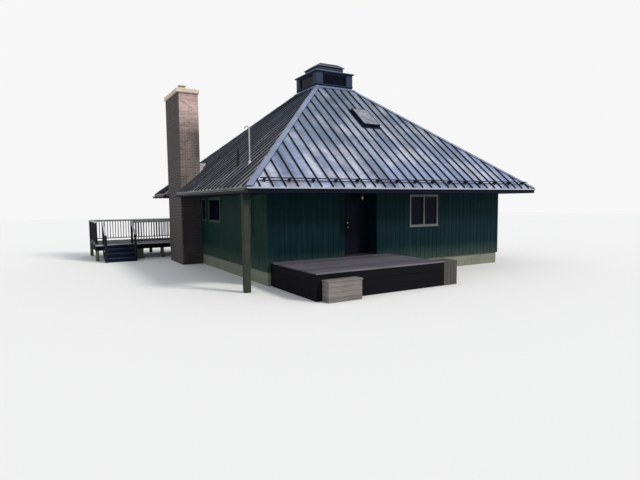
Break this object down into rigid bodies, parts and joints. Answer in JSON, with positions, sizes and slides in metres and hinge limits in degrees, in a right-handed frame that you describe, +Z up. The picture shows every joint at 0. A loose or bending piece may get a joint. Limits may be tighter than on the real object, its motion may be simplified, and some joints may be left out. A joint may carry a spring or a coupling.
{
  "type": "square hip-roofed cottage with a roof lantern",
  "caption": "Square single-storey cottage with board siding, a steep metal hip roof, a glazed roof lantern, a brick chimney, a recessed front door, a low front deck and a raised rear deck.",
  "frame": {"origin": "on the roof's vertical axis, at the underside of the pier under the middle of the floor, level with the lowest ground that the house meets", "axes": "+Z up, the front with the recessed door faces -Y, +X to the right as seen from the front"},
  "size_m": [15.5125, 16.7875, 8.6924],
  "materials": {
    "siding": "painted, satin, vertical boards",
    "foundation_concrete": "rough block",
    "floor_wood": "plain boards",
    "deck_wood": "weathered grey boards",
    "dark_timber": "dark stained timber",
    "post_timber": "weathered square timber",
    "door_paint": "dark paint, satin",
    "trim_paint": "dark paint",
    "window_frame": "off-white paint",
    "window_glass": "clear",
    "roof_metal": "grey sheet, satin",
    "flashing": "pale grey sheet, satin",
    "rail_metal": "dark paint",
    "gutter_metal": "pale paint",
    "lantern_paint": "grey paint",
    "lantern_roof_metal": "grey sheet",
    "brick": "red brick in pale mortar",
    "cap_concrete": "cast concrete",
    "flue_clay": "clay and sheet metal",
    "mast_metal": "galvanised",
    "vent_metal": "black",
    "hardware": "satin",
    "lamp_metal": "black"
  },
  "bodies": {
    "house": {"back_wall": "siding", "chimney": "brick", "chimney_cap": "cap_concrete", "corner_boards": "siding", "corner_post": "post_timber", "cricket": "flashing", "deck_box": "deck_wood", "deck_skirt": "dark_timber", "deck_step": "deck_wood", "door_frame": "trim_paint", "door_hinges": "hardware", "eaves": "trim_paint", "entry_returns": "siding", "entry_wall_over": "siding", "entry_wall_side": "siding", "floor": "floor_wood", "flue": "flue_clay", "foundation": "foundation_concrete", "front_deck": "deck_wood", "front_wall_left": "siding", "front_wall_over_entry": "siding", "front_wall_right": "siding", "hip_caps": "flashing", "lantern_cap": "lantern_roof_metal", "lantern_curb": "lantern_paint", "lantern_head": "lantern_paint", "lantern_posts": "lantern_paint", "lantern_skirt": "lantern_roof_metal", "left_gutter": "gutter_metal", "left_wall": "siding", "porch_lamp": "lamp_metal", "rear_deck": "deck_wood", "rear_deck_posts": "dark_timber", "rear_deck_rim": "dark_timber", "rear_rail_back": "dark_timber", "rear_rail_ends": "dark_timber", "rear_rail_front": "dark_timber", "right_wall": "siding", "roof_back": "roof_metal", "roof_front": "roof_metal", "roof_left": "roof_metal", "roof_right": "roof_metal", "roof_seams_back": "roof_metal", "roof_seams_front": "roof_metal", "roof_seams_left": "roof_metal", "roof_seams_right": "roof_metal", "service_mast": "mast_metal", "skylight_curb": "flashing", "snow_rail": "rail_metal", "stair_rails": "dark_timber", "stair_stringers": "dark_timber", "stair_treads": "deck_wood", "vent_pipe": "vent_metal", "window_frames": "window_frame", "window_glass": "window_glass"},
    "door": {"front_door": "door_paint", "door_knobs": "hardware"}
  },
  "joints": [
    {"name": "front_door_hinge", "type": "hinge", "parent": "house", "child": "door", "pos_m": [-1.0835, -4.647, 1.8], "axis": [0, 0, -1], "range_deg": [0, 95]}
  ]
}
